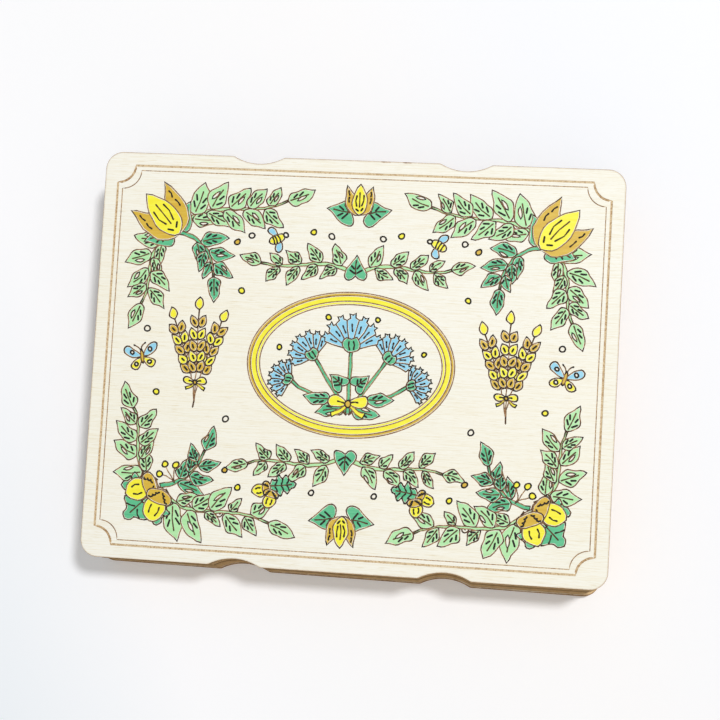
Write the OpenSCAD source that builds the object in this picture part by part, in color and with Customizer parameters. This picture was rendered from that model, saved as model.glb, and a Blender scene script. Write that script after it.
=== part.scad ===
// Flower press of the strap type: two notched plywood boards, and between
// them a loose pile of corrugated card sheets and blotting papers.
// Millimetres. The pile lies flat with +Z up and its long side along X.
// The origin is on the underside, below the middle of the whole pile.

/* [Boards] */
// Length of each plywood board, along X
board_w = 178; // [120:1:300]
// Width of each plywood board, along Y
board_d = 140; // [90:1:240]
// Thickness of each plywood board
board_t = 3; // [2:0.5:6]
// Radius of the corners of a board
corner_r = 6; // [3:0.5:12]

/* [Strap seats] */
// Width of a strap seat across its mouth
seat_w = 17.6; // [10:0.2:28]
// Depth of a strap seat below the long edge
seat_depth = 2.4; // [1:0.1:5]
// Distance between the middles of the two seats on one long edge
seat_spacing = 71; // [40:1:130]
// Radius that rounds the two shoulders of a seat
shoulder_r = 1.5; // [0.5:0.1:3]

/* [Card sheets] */
// Thickness of a corrugated card sheet
card_t = 2.5; // [1.6:0.1:4]
// Distance that the outline of a card sheet stays inside that of a board
card_inset = 0.5; // [0:0.1:2]
// Thickness of the flat liners on both faces of a card sheet
liner_t = 0.25; // [0.15:0.05:0.4]
// Thickness of the wavy medium between the liners
medium_t = 0.25; // [0.15:0.05:0.4]
// Length of one wave of the medium
flute_pitch = 6.5; // [4:0.1:9]
// Width of the glue line where a wave meets a liner
glue_w = 1; // [0.4:0.1:1.6]

/* [Blotting papers] */
// Thickness of a blotting paper
paper_t = 0.3; // [0.2:0.1:1]
// Distance that a paper stays inside the strap seats and the side edges
paper_inset = 1.6; // [0.5:0.1:8]
// Radius of the corners of a paper
paper_corner_r = 4; // [1:0.5:10]

/* [Lie of the loose pile] */
// Distance that the top board lies behind the bottom board
pile_slip_back = 4; // [0:0.1:6]
// Distance that the top board lies to the left of the bottom board
pile_slip_left = 1; // [0:0.1:4]
// Degrees that the top board is turned anticlockwise from the bottom board
pile_turn = 0.5; // [0:0.1:2]
// Distance that a loose sheet strays from its place in the pile
sheet_stray = 0.35; // [0:0.05:0.5]

/* [Hidden] */
$fn = 96;

// Sheets in the pile: two papers lie between each card sheet and the next
card_count = 6;
papers_per_gap = 2;

// Heights of the undersides in the pile, counted from the bottom
gap_t = papers_per_gap * paper_t;
top_board_z = board_t + card_count * card_t + (card_count - 1) * gap_t;
function card_z(i) = board_t + (i - 1) * (card_t + gap_t);
function paper_z(j) = board_t + ceil(j / papers_per_gap) * card_t + (j - 1) * paper_t;

// A seat is a scoop: a circle through both ends of the mouth and the deepest point
seat_r = (seat_w * seat_w / 4 + seat_depth * seat_depth) / (2 * seat_depth);

// The medium waves between the two liners and touches both
wave_h = (card_t - 2 * liner_t - medium_t) / 2;
cell_steps = 8;

// Overrun of every cut, and the hair by which arcs cross what they meet
cut = 1;
arc_lap = 0.01;

// Colours of the pieces
birch_colour = "#efe3c8";
birch_back_colour = "#e2cfa6";
kraft_colours = ["#b48a5a", "#bd9464"];
paper_colours = ["#f7f4ea", "#efeade"];

// Rounded rectangle made of true arcs, with its middle at the origin
module rounded_sheet(w, d, r) {
    square([w - 2 * r, d], center = true);
    square([w, d - 2 * r], center = true);
    for (sx = [-1, 1], sy = [-1, 1])
        translate([sx * (w / 2 - r), sy * (d / 2 - r)]) circle(r);
}

// One scoop, cut into an edge along X whose material lies below y = 0.
// A scoop of an inset sheet has the same middle and a larger radius.
module scoop(inset) {
    r = seat_r + inset;
    mid_y = seat_r - seat_depth + inset;
    translate([0, mid_y]) circle(r);
    // Both shoulders end in a small arc, laid so that it crosses the edge and
    // the scoop by a hair instead of only touching them
    arc_mid_y = arc_lap - shoulder_r;
    reach = r + shoulder_r - arc_lap;
    arc_mid = [sqrt(reach * reach - pow(mid_y - arc_mid_y, 2)), arc_mid_y];
    inner = [0, mid_y] + (arc_mid - [0, mid_y]) * (r - arc_lap / 2) / reach;
    for (side = [0, 1]) mirror([side, 0])
        difference() {
            polygon([arc_mid, [arc_mid.x, cut], [inner.x, cut], inner]);
            translate(arc_mid) circle(shoulder_r);
        }
}

// Outline that the boards and the card sheets share, drawn in by an inset
module notched_outline(inset) {
    edge_y = board_d / 2 - inset;
    difference() {
        rounded_sheet(board_w - 2 * inset, board_d - 2 * inset, corner_r - inset);
        for (side = [0, 180], sx = [-1, 1])
            rotate(side) translate([sx * seat_spacing / 2, edge_y]) scoop(inset);
    }
}

// Puts a layer at its height and at its place in the leaning, turned pile.
// The stray is a small shift that differs from sheet to sheet.
module in_pile(z, stray = [0, 0]) {
    share = z / top_board_z - 1 / 2;
    translate([stray.x - share * pile_slip_left, stray.y + share * pile_slip_back, z])
        rotate(share * pile_turn) children();
}
function stray_of(n) = sheet_stray * [sin(n * 137), cos(n * 222)];

module board() {
    linear_extrude(board_t) notched_outline(0);
}

// Open space between two crests of the medium, from its glue lines to the
// liner. side is 1 for a space under the top liner, -1 for one at the bottom.
function flute_space(mid_x, side) =
    let (half = (flute_pitch - glue_w) / 2, liner_y = side * (card_t / 2 - liner_t))
    [
        [mid_x - half, liner_y],
        for (i = [1:cell_steps - 1])
            let (x = half * (2 * i / cell_steps - 1))
            [mid_x + x, -side * (wave_h * cos(360 * x / flute_pitch) - medium_t / 2)],
        [mid_x + half, liner_y]
    ];

// Cross-section of a card sheet: liners and medium as one glued piece.
// x runs along the sheet, and y is its height above the middle.
module card_section() {
    waves = ceil(board_w / flute_pitch / 2);
    difference() {
        square([board_w, card_t], center = true);
        for (k = [-waves:waves]) {
            polygon(flute_space(k * flute_pitch, 1));
            polygon(flute_space((k + 1 / 2) * flute_pitch, -1));
        }
    }
}

module bottom_board() {
    color(birch_back_colour) in_pile(0) board();
}

module top_board() {
    color(birch_colour) in_pile(top_board_z) board();
}

module card_sheet(i) {
    color(kraft_colours[i % 2])
        in_pile(card_z(i), stray_of(i))
            intersection() {
                linear_extrude(card_t) notched_outline(card_inset);
                translate([0, board_d / 2, card_t / 2])
                    rotate([90, 0, 0]) linear_extrude(board_d) card_section();
            }
}

module blotting_paper(j) {
    w = board_w - 2 * paper_inset;
    d = board_d - 2 * (seat_depth + paper_inset);
    color(paper_colours[j % 2])
        in_pile(paper_z(j), stray_of(card_count + j))
            linear_extrude(paper_t) rounded_sheet(w, d, paper_corner_r);
}

bottom_board();
card_sheet(1);  // card_sheet_1
blotting_paper(1);  // blotting_paper_1
blotting_paper(2);  // blotting_paper_2
card_sheet(2);  // card_sheet_2
blotting_paper(3);  // blotting_paper_3
blotting_paper(4);  // blotting_paper_4
card_sheet(3);  // card_sheet_3
blotting_paper(5);  // blotting_paper_5
blotting_paper(6);  // blotting_paper_6
card_sheet(4);  // card_sheet_4
blotting_paper(7);  // blotting_paper_7
blotting_paper(8);  // blotting_paper_8
card_sheet(5);  // card_sheet_5
blotting_paper(9);  // blotting_paper_9
blotting_paper(10);  // blotting_paper_10
card_sheet(6);  // card_sheet_6
top_board();
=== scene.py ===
# %% [markdown]
# # A flower press, painted and stacked
#
# The real press is a loose pile: two boards of laser-cut plywood, and between them six sheets
# of corrugated card with ten blotting papers. Two straps, put away here, run through the
# scooped seats in the long edges and pull the pile tight. The frame that is loaded first holds
# every piece at its real size and place. This file gives each of them its finish.

# %% Load the frame
import math
import random

import bpy
import numpy as np
from mathutils import Matrix, Vector
from mathutils.geometry import delaunay_2d_cdt, interpolate_bezier
from mathutils.kdtree import KDTree


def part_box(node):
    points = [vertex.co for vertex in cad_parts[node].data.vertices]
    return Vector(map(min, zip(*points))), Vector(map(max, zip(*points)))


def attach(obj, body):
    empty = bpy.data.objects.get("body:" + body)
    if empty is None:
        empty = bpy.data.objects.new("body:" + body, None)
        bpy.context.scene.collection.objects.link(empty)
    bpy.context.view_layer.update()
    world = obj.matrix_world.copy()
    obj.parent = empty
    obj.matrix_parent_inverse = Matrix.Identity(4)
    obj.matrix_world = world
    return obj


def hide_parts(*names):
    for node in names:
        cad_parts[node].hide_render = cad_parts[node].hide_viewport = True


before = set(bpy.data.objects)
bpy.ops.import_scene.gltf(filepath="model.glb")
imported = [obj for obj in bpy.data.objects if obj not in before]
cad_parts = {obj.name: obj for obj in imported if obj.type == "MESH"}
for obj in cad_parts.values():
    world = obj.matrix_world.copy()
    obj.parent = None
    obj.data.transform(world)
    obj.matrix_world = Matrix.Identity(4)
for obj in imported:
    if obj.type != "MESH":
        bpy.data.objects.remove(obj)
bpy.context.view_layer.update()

MM = 0.001

# %% [markdown]
# ## Helpers for node trees
#
# Materials and Geometry Nodes are both trees of nodes, so one small function adds a node to
# either kind: its settings are keyword arguments, and a dictionary says what goes into each
# input. Colours are written as sRGB hex values, as a paint chart gives them, and turned to the
# linear values that Blender's sockets expect.

# %% Node and colour helpers
def feed(tree, socket, source):
    """Give an input a value, one output, or the first output that a node shows."""
    if isinstance(source, bpy.types.Node):
        source = next(s for s in source.outputs if s.enabled)
    if isinstance(source, bpy.types.NodeSocket):
        tree.links.new(source, socket)
    else:
        socket.default_value = source


def add(tree, kind, feeds=None, **settings):
    """Add a node. feeds maps an input's name or number to a value, a node or one output."""
    made = tree.nodes.new(kind)
    for name, value in settings.items():
        setattr(made, name, value)
    for name, source in (feeds or {}).items():
        shown = [s for s in made.inputs if s.enabled]
        socket = shown[name] if isinstance(name, int) else next(s for s in shown if s.name == name)
        feed(tree, socket, source)
    return made


def linear(hex_colour):
    """The linear RGBA values of an sRGB colour such as "#f6efda"."""
    shares = [int(hex_colour[i:i + 2], 16) / 255 for i in (1, 3, 5)]
    return [s / 12.92 if s <= 0.04045 else ((s + 0.055) / 1.055) ** 2.4 for s in shares] + [1]


def set_stops(ramp_node, *stops):
    """Set the stops of a colour ramp, each a share and a colour. The first is at 0."""
    first, last = ramp_node.color_ramp.elements
    first.color = linear(stops[0][1])
    last.position, last.color = stops[-1][0], linear(stops[-1][1])
    for share, colour in stops[1:-1]:
        ramp_node.color_ramp.elements.new(share).color = linear(colour)


def new_material(name, roughness, ior):
    """A material with a Principled surface; returns it, its tree and that node."""
    made = bpy.data.materials.new(name)
    made.use_nodes = True
    surface = made.node_tree.nodes["Principled BSDF"]
    surface.inputs["Roughness"].default_value = roughness
    surface.inputs["IOR"].default_value = ior
    return made, made.node_tree, surface


print("helpers ready; birch cream in linear light:", [round(c, 3) for c in linear("#fbf6e4")[:3]])

# %% [markdown]
# ## The outline that boards and card share
#
# Boards and card sheets are cut to one outline: a rectangle with round corners and two shallow
# scoops in each long edge, where the straps lie. It could be read off the frame's mesh, but a
# formula gives evenly spaced points at any inset, and the inset rings are what the scorched rim
# is painted on. The sizes repeat the construction's own, and the finished piece is measured
# against the frame's node below.

# %% Outline of a board
BOARD_W, BOARD_D, BOARD_T, CORNER_R = 178, 140, 3, 6
SEAT_W, SEAT_DEPTH, SEAT_SPACING, SHOULDER_R = 17.6, 2.4, 71, 1.5
SEAT_R = (SEAT_W ** 2 / 4 + SEAT_DEPTH ** 2) / (2 * SEAT_DEPTH)
POINT_SPACING = 0.9


def arc(centre, radius, start, end, spacing=POINT_SPACING):
    """Points of an arc between two angles in degrees, its end left out."""
    steps = max(2, round(abs(math.radians(end - start)) * radius / spacing))
    angles = [math.radians(start + (end - start) * i / steps) for i in range(steps)]
    return [(centre[0] + radius * math.cos(a), centre[1] + radius * math.sin(a)) for a in angles]


def straight(a, b):
    """Points of a straight run from a to b, its end left out."""
    steps = max(1, round(math.dist(a, b) / POINT_SPACING))
    return [(a[0] + (b[0] - a[0]) * i / steps, a[1] + (b[1] - a[1]) * i / steps) for i in range(steps)]


def far_edge(inset):
    """The far long edge from its right corner to its left one, both corner arcs included."""
    half_w, half_d = BOARD_W / 2 - inset, BOARD_D / 2 - inset
    corner = CORNER_R - inset
    radius = SEAT_R + inset
    middle_y = half_d + radius - SEAT_DEPTH
    shoulder_y = half_d - SHOULDER_R
    reach = math.sqrt((radius + SHOULDER_R) ** 2 - (middle_y - shoulder_y) ** 2)
    lean = math.degrees(math.asin(reach / (radius + SHOULDER_R)))
    points = arc((half_w - corner, half_d - corner), corner, 0, 90)
    last = (half_w - corner, half_d)
    for seat_x in (SEAT_SPACING / 2, -SEAT_SPACING / 2):
        points += straight(last, (seat_x + reach, half_d))
        points += arc((seat_x + reach, shoulder_y), SHOULDER_R, 90, 90 + lean, POINT_SPACING / 2)
        points += arc((seat_x, middle_y), radius, lean - 90, -90 - lean)
        points += arc((seat_x - reach, shoulder_y), SHOULDER_R, 90 - lean, 90, POINT_SPACING / 2)
        last = (seat_x - reach, half_d)
    points += straight(last, (corner - half_w, half_d))
    points += arc((corner - half_w, half_d - corner), corner, 90, 180)
    return points + [(-half_w, half_d - corner)]


def outline(inset=0):
    """The whole outline, anticlockwise. The near half is the far half turned round."""
    edge = far_edge(inset)
    side = straight(edge[-1], (edge[-1][0], -edge[-1][1]))[1:]
    half = edge + side
    return half + [(-x, -y) for x, y in half]


print("outline:", len(outline()), "points, seat radius", round(SEAT_R, 2), "mm")

# %% [markdown]
# ## How the loose pile lies
#
# Nothing holds the layers together while the straps are off, so the pile leans back a little
# and turns as it rises. The frame's boxes give each layer's middle and height. Only the turn is
# named here, because a box doesn't show it.

# %% Place of a layer
PILE_TURN = 0.5
TOP_BOARD_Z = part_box("top_board")[0].z


def lie_of(node):
    """The matrix that takes a layer from its own millimetres to its place in the pile."""
    low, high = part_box(node)
    middle = (low + high) / 2
    turn = math.radians(PILE_TURN) * (low.z / TOP_BOARD_Z - 0.5)
    return (Matrix.Translation((middle.x, middle.y, low.z))
            @ Matrix.Rotation(turn, 4, "Z") @ Matrix.Scale(MM, 4))


for layer in ("bottom_board", "top_board"):
    print(layer, "lies at", [round(c / MM, 2) for c in lie_of(layer).translation])

# %% [markdown]
# ## A picture as a list of shapes
#
# The face of the real board is drawn with a laser and filled in with paint pens. Here the
# picture is a list of flat shapes in millimetres: bare wood, paint and burnt lines, where a
# later shape lies over the earlier ones, as with paper cut-outs. The mesh is cut along all
# their borders afterwards. An image would be quicker, but real edges stay sharp from any
# distance, and a burnt line can be sunk into the wood.
#
# A laser moves at a steady pace along smooth stretches and slows down in tight bends and at the
# ends of a line, where it burns darker and wider. One function works that out for any line.

# %% Pace of the laser
# Radius of a bend that slows the laser down fully, and how near a line's end it slows down
SLOW_RADIUS, END_DWELL = 0.6, 0.7
# A bend is measured over at least this length, so that points close together don't exaggerate it
SHORTEST_RUN = 0.05


def slowness(points, closed):
    """For each point, from 0 to 1, how much the laser slows down there."""
    count = len(points)
    runs = [math.dist(points[i], points[(i + 1) % count]) for i in range(count)]
    along = [sum(runs[:i]) for i in range(count)] if not closed else []
    found = []
    for i, (x, y) in enumerate(points):
        if not closed and i in (0, count - 1):
            found.append(1.0)
            continue
        (ax, ay), (bx, by) = points[i - 1], points[(i + 1) % count]
        before, after = math.atan2(y - ay, x - ax), math.atan2(by - y, bx - x)
        turn = abs((after - before + math.pi) % math.tau - math.pi)
        bend = turn / max(0.5 * (runs[i - 1] + runs[i]), SHORTEST_RUN) * SLOW_RADIUS
        if not closed:
            to_end = min(along[i], along[-1] - along[i])
            bend = max(bend, 1 - to_end / END_DWELL)
        found.append(min(1.0, max(0.0, bend)))
    return found


right_angle = [(0, 0), (2, 0), (4, 0), (4, 2), (4, 4)]
print("slowness along a line with one right angle:", [round(s, 2) for s in slowness(right_angle, False)])

# %% Outlines
# Limits how far an offset point moves at a sharp corner: 2 is a straight line, 1 a right angle
SHARPEST_SPREAD = 0.6


def offset(points, distance):
    """An anticlockwise outline moved inwards by a distance, or outwards if it is negative."""
    moved = []
    for i, (x, y) in enumerate(points):
        (ax, ay), (bx, by) = points[i - 1], points[(i + 1) % len(points)]
        into = Vector((y - ay, ax - x)).normalized() + Vector((by - y, x - bx)).normalized()
        spread = max(into.length_squared / 2, SHARPEST_SPREAD)
        moved.append((x - into.x * distance / spread, y - into.y * distance / spread))
    return moved


def anticlockwise(points):
    """The same outline, running anticlockwise."""
    area = sum(a[0] * b[1] - b[0] * a[1] for a, b in zip(points, points[1:] + points[:1]))
    return points if area > 0 else points[::-1]


def curve(*points, steps=10):
    """A Bezier curve through its first and last point, shaped by the two between."""
    return [tuple(p) for p in interpolate_bezier(*(Vector(p) for p in points), steps + 1)]


def ellipse(rx, ry=None, *, steps):
    """A round or oval outline about the origin."""
    ry = rx if ry is None else ry
    angles = [math.tau * i / steps for i in range(steps)]
    return [(rx * math.cos(a), ry * math.sin(a)) for a in angles]


def flip(points, side):
    """The same points, mirrored across the X axis where side is -1."""
    return [(x, side * y) for x, y in points]


def both_sides(half):
    """Close a half outline that runs along +X by mirroring it."""
    return half + flip(reversed(half[1:-1]), -1)


print("an oval in four steps:", [(round(x, 2), round(y, 2)) for x, y in ellipse(2, 1, steps=4)])

# %% Burnt lines and painted areas
BARE, BURNT, WALL = "bare", "burnt", "wall"
# Width of a line where the laser runs fast and where it is slowest, and how dark a fast one is
LINE_THIN, LINE_THICK, LINE_TAN = 0.38, 0.68, 0.2
UNEVEN_PACE = 0.12

# Shapes as (finish, darkness, points), and the outlines along which the mesh is cut
shapes = []
borders = []
hand = random.Random(7)


def fill(finish, points, edged=True):
    """Lay a filled shape over what is there. The mesh isn't cut along an edge that a line covers."""
    shapes.append((finish, 0.0, points))
    if edged:
        borders.append(points)


def burn(points, closed=False, weight=1.0, tan=LINE_TAN, thin=LINE_THIN):
    """Burn a line: a row of quads that widen and darken where the laser slows down."""
    count = len(points)
    left, right, dark, tips = [], [], [], []
    for i, slow in enumerate(slowness(points, closed)):
        slow = min(1.0, slow * weight + hand.uniform(0, UNEVEN_PACE))
        before = points[i - 1] if closed or i else points[i]
        after = points[(i + 1) % count] if closed or i < count - 1 else points[i]
        across = Vector((before[1] - after[1], after[0] - before[0])).normalized()
        across *= (thin + (LINE_THICK - LINE_THIN) * slow) / 2
        x, y = points[i]
        left.append((x + across.x, y + across.y))
        right.append((x - across.x, y - across.y))
        dark.append(tan + (1 - tan) * slow)
        if not closed and i in (0, count - 1):
            out = Vector((-across.y, across.x)) * (-1 if i else 1)
            tips.append((x + out.x, y + out.y))
            shapes.append((BURNT, dark[i], [left[i], right[i], tips[-1]]))
    for i in range(count if closed else count - 1):
        j = (i + 1) % count
        shapes.append((BURNT, (dark[i] + dark[j]) / 2, [left[i], right[i], right[j], left[j]]))
    borders.extend([left, right] if closed else [[tips[0]] + left + [tips[1]] + right[::-1]])


print("an engraved line is", LINE_THIN, "to", LINE_THICK, "mm wide")

# %% [markdown]
# ## Motifs
#
# Each motif is drawn once, at the origin and along +X, mostly at unit size. A Spot sizes it,
# turns it, moves it and mirrors it. A slow waver is added to every point, so no two leaves are
# quite alike, as in a drawing that was made by hand and then traced. Paint stops a little short
# of the burnt outline and wavers on its own, because a pen never follows the line exactly.

# %% A spot for a motif
WAVER, WAVER_LENGTH = 0.13, 5.2
# How far paint keeps from its outline, and how much its own edge wavers
PAINT_GAP, PEN_WAVER = 0.34, 0.07


def waver(x, y, size, length):
    """A smooth small shift that depends only on the place."""
    turn = math.tau / length
    return (x + size * (math.sin(turn * y + 1.3) + 0.5 * math.sin(turn * (1.7 * x + 0.6 * y))),
            y + size * (math.sin(turn * x + 0.4) + 0.5 * math.sin(turn * (1.9 * y - 0.7 * x))))


class Spot:
    """Where one motif goes: its place, its turn in degrees, its mirroring and its size."""

    def __init__(self, x, y, turn=0, mirror=(1, 1), size=1.0):
        self.x, self.y, self.mirror = x, y, mirror
        self.cos = size * math.cos(math.radians(turn))
        self.sin = size * math.sin(math.radians(turn))

    def put(self, local):
        """The points of a motif at this place, in millimetres on the board."""
        moved = [(self.x + x * self.cos - y * self.sin, self.y + x * self.sin + y * self.cos)
                 for x, y in local]
        return [waver(x * self.mirror[0], y * self.mirror[1], WAVER, WAVER_LENGTH) for x, y in moved]

    def line(self, local, weight=1.0):
        """A burnt line."""
        burn(self.put(local), False, weight)

    def pair(self, local, weight=1.0):
        """A burnt line on each side of the middle."""
        for side in (1, -1):
            self.line(flip(local, side), weight)

    def shape(self, finish, local, gap=PAINT_GAP, weight=1.0):
        """A closed form: bare wood under it, paint inside it and a burnt outline."""
        rim = anticlockwise(self.put(local))
        fill(BARE, rim, edged=False)
        if finish != BARE:
            fill(finish, [waver(x, y, PEN_WAVER, WAVER_LENGTH / 3) for x, y in offset(rim, gap)])
        burn(rim, True, weight)


MINT, EMERALD, YELLOW, OCHRE, BLUE = "mint", "emerald", "yellow", "ochre", "blue"
tip_x, tip_y = Spot(10, 5, 90, size=3).put([(1, 0)])[0]
print("a motif of size 3, turned up at (10, 5), has its tip at", (round(tip_x, 2), round(tip_y, 2)))

# %% Leaves
LEAF_WAVE, LEAF_WAVES = 0.12, 10
LOBES, LOBE_STEPS = 3.4, 24
# Leaves longer than this can have a slit
SLIT_FROM = 7.5


def leaf(spot, length, width, finish, veins=2):
    """A pointed leaf with a wavy edge, bent to one side. Its marks are dashes or slits in the paint."""
    bend, start = hand.uniform(-0.08, 0.08) * length, hand.uniform(0, math.tau)

    def bent(points):
        found = []
        for x, y in points:
            wave = 1 + LEAF_WAVE * math.sin(LEAF_WAVES * x / length + start)
            found.append((x, y * wave + bend * math.sin(math.pi * x / length)))
        return found

    half = curve((0, 0), (0.16 * length, 0.84 * width), (0.6 * length, 0.62 * width), (length, 0),
                 steps=12)
    spot.shape(finish, bent(both_sides(half)))
    slit_side = hand.choice((-1, 0, 1)) if length > SLIT_FROM else 0
    spot.line(bent([(0.1 * length, 0), (0.4 * length, 0), (0.72 * length, 0)]), weight=0.5)
    for side in (1, -1):
        if side == slit_side:
            slit(spot, 0.3 * length, side * 0.25 * width, -side * 8, 0.34 * length)
            continue
        for k in range(veins):
            x = length * (0.22 + 0.2 * k)
            far_y = side * (0.38 - 0.08 * k) * width
            spot.line(bent([(x, side * 0.18 * width), (x + 0.15 * length, far_y)]), weight=1.2)


def slit(spot, x, y, turn, length):
    """A long narrow gap in the paint beside the midrib, with a dark outline."""
    cos, sin = math.cos(math.radians(turn)), math.sin(math.radians(turn))
    width = 0.2 * length
    half = curve((0, 0), (0.2 * length, width), (0.75 * length, width), (length, 0), steps=4)
    turned = [(x + a * cos - b * sin, y + a * sin + b * cos) for a, b in both_sides(half)]
    spot.shape(BARE, turned, weight=1.1)


def lobed_leaf(spot, length, width):
    """A leaf with round lobes, as an oak's."""
    half = []
    for i in range(LOBE_STEPS + 1):
        share = i / LOBE_STEPS
        swell = math.sin(math.pi * share ** 0.85) ** 0.75 if i < LOBE_STEPS else 0
        lobe = 1 + 0.3 * math.sin(math.tau * LOBES * share - 0.4)
        half.append((length * share, width * swell * lobe))
    spot.shape(EMERALD, both_sides(half))
    spot.line([(0.04 * length, 0), (0.4 * length, 0), (0.82 * length, 0)], weight=0.6)
    for x in (0.22, 0.44, 0.66):
        spot.pair([(x * length, 0.14 * width), ((x + 0.06) * length, 0.4 * width),
                   ((x + 0.09) * length, 0.66 * width)], weight=1.3)


def heart_leaf(spot):
    """A broad leaf with two round lobes at its stalk."""
    half = curve((0.08, 0), (-0.28, 0.34), (0, 0.64), (0.36, 0.42), steps=7)
    half += curve(half[-1], (0.62, 0.26), (0.8, 0.1), (1, 0), steps=5)[1:]
    spot.shape(EMERALD, both_sides(half))
    spot.line([(0.14, 0), (0.44, 0.01), (0.76, 0)], weight=0.6)
    for x in (0.2, 0.4):
        spot.pair([(x, 0.06), (x + 0.15, 0.34 - 0.4 * x)], weight=1.3)


print("leaves: pointed ones with", LEAF_WAVE, "deep waves, lobed ones with", LOBES, "lobes, and hearts")

# %% Stems and branches
SPLAY, SPLAY_VARIES = 46, 6
# Leaves inside a bend shrink by its degrees over FULL_BEND, and by MOST_CROWDING at the most
FULL_BEND, MOST_CROWDING = 110, 0.4
# How far a leaf stands off its stem, and from which length it has two veins on each side
STAND_OFF, VEINS_FROM = 0.7, 6.4
CURL_TURNS, CURL_STEPS = 1.2, 17


def ribbon_along(points, start_width, end_width):
    """The outline of a band that follows a row of points and changes its width."""
    left, right = [], []
    for i, (x, y) in enumerate(points):
        (ax, ay), (bx, by) = points[max(i - 1, 0)], points[min(i + 1, len(points) - 1)]
        share = i / (len(points) - 1)
        width = start_width + (end_width - start_width) * share
        across = Vector((ay - by, bx - ax)).normalized() * width / 2
        left.append((x + across.x, y + across.y))
        right.append((x - across.x, y - across.y))
    return left + right[::-1]


def place_on(points, share):
    """A place on a row of points and its heading in degrees, at a share of the length."""
    at = min(max(share, 0), 1) * (len(points) - 1)
    i = min(int(at), len(points) - 2)
    (ax, ay), (bx, by) = points[i], points[i + 1]
    part = at - i
    return ax + (bx - ax) * part, ay + (by - ay) * part, math.degrees(math.atan2(by - ay, bx - ax))


def branch(route, pairs, first, last, finish, mirror, start=0.12, tendrils=()):
    """A stem with pairs of leaves that grow smaller towards its tip and inside its bends."""
    for share, side in tendrils:
        x, y, heading = place_on(route, share)
        curl(Spot(x, y, heading + side * 70, mirror, 1.5), side)
    Spot(0, 0, 0, mirror).shape(finish, ribbon_along(route, 1.4, 0.6), gap=0.16)
    for k in range(pairs):
        size = first + (last - first) * k / pairs
        for side in (1, -1):
            share = start + (0.96 - start) * k / pairs + (0.04 if side < 0 else 0)
            x, y, heading = place_on(route, share)
            bend = place_on(route, share + 0.12)[2] - place_on(route, share - 0.12)[2]
            crowding = min(max(side * bend / FULL_BEND, 0), MOST_CROWDING)
            turn = heading + side * (SPLAY + hand.uniform(-SPLAY_VARIES, SPLAY_VARIES))
            away = math.radians(turn)
            x, y = x + STAND_OFF * math.cos(away), y + STAND_OFF * math.sin(away)
            length = size * (1 - crowding) * hand.uniform(0.93, 1.07)
            width = 0.48 * size * (1 - crowding)
            leaf(Spot(x, y, turn, mirror), length, width, finish, veins=2 if length > VEINS_FROM else 1)
    x, y, heading = place_on(route, 1)
    leaf(Spot(x, y, heading, mirror), 1.2 * last, 0.56 * last, finish)


def curl(spot, side):
    """A tendril that rolls up to one side."""
    points = []
    for i in range(CURL_STEPS + 1):
        share = i / CURL_STEPS
        angle, radius = math.tau * (CURL_TURNS * share - 0.25), 1 - 0.74 * share
        points.append((radius * math.cos(angle), side * (1 + radius * math.sin(angle))))
    spot.line(points, weight=0.7)


print("leaves splay", SPLAY, "degrees from their stem, give or take", SPLAY_VARIES)

# %% Flowers and berries
def tulip(spot):
    """A closed tulip: two outer petals behind a middle one."""
    petal = curve((0, 0), (0.02, 0.506), (0.5, 0.572), (1.04, 0.44))
    petal += curve(petal[-1], (0.86, 0.308), (0.72, 0.176), (0.56, 0.044), steps=6)[1:]
    for side in (1, -1):
        spot.shape(OCHRE, flip(petal, side))
        for low, high in ((0.46, 0.62), (0.7, 0.84)):
            mark = [(low, 0.3696), ((low + high) / 2, 0.3916), (high, 0.3828)]
            spot.line(flip(mark, side), weight=1.3)
    middle = curve((0.01, 0), (0.16, 0.3784), (0.74, 0.3168), (1.1, 0))
    spot.shape(YELLOW, both_sides(middle))
    spot.line([(0.3, 0), (0.55, 0.0088), (0.8, 0)], weight=0.6)
    for side in (1, -1):
        spot.line(flip([(0.34, 0.088), (0.52, 0.1408), (0.7, 0.1232)], side))
        spot.line(flip([(0.16, 0.044), (0.24, 0.1144)], side), weight=1.4)


def cornflower(spot):
    """A fan of toothed blue petals over a green cup."""
    petal = [(0.24, -0.05), (0.6, -0.13), (0.84, -0.17), (0.9, -0.07), (1.02, -0.08),
             (0.97, 0), (1.02, 0.08), (0.9, 0.07), (0.84, 0.17), (0.6, 0.13), (0.24, 0.05)]
    for step in (-3, 3, -2, 2, -1, 1, 0):
        angle, reach = math.radians(21 * step), 1 - 0.012 * step * step
        cos, sin = reach * math.cos(angle), reach * math.sin(angle)
        spot.shape(BLUE, [(x * cos - y * sin, x * sin + y * cos) for x, y in petal])
        spot.line([(s * cos, s * sin) for s in (0.52, 0.62, 0.72)], weight=1.3)
    cup = curve((-0.06, 0), (-0.05, 0.24), (0.2, 0.34), (0.36, 0.15), steps=7)
    spot.shape(EMERALD, both_sides(cup + [(0.3, 0)]))
    spot.pair([(0.02, 0.06), (0.13, 0.08), (0.24, 0.06)], weight=1.3)


def berry(spot, finish):
    """A small round berry."""
    spot.shape(finish, ellipse(1, steps=10), gap=0.2, weight=1.1)


def berry_spray(x, y, heading, mirror):
    """Three thin stalks that fan out, each with a berry."""
    spot = Spot(x, y, heading, mirror)
    for step in (-1, 0, 1):
        angle, far = math.radians(32 * step), 7.0 * (1 - 0.14 * abs(step))
        tip = (far * math.cos(angle), far * math.sin(angle))
        spot.line(curve((0, 0), (0.4 * far, 0), (0.7 * tip[0], 0.7 * tip[1]), tip, steps=5), weight=0.5)
        round_tip = [(tip[0] + x, tip[1] + y) for x, y in ellipse(1.05, steps=10)]
        spot.shape(YELLOW, round_tip, gap=0.2, weight=1.1)


print("flowers: tulip and cornflower, with berries alone and in sprays")

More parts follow.
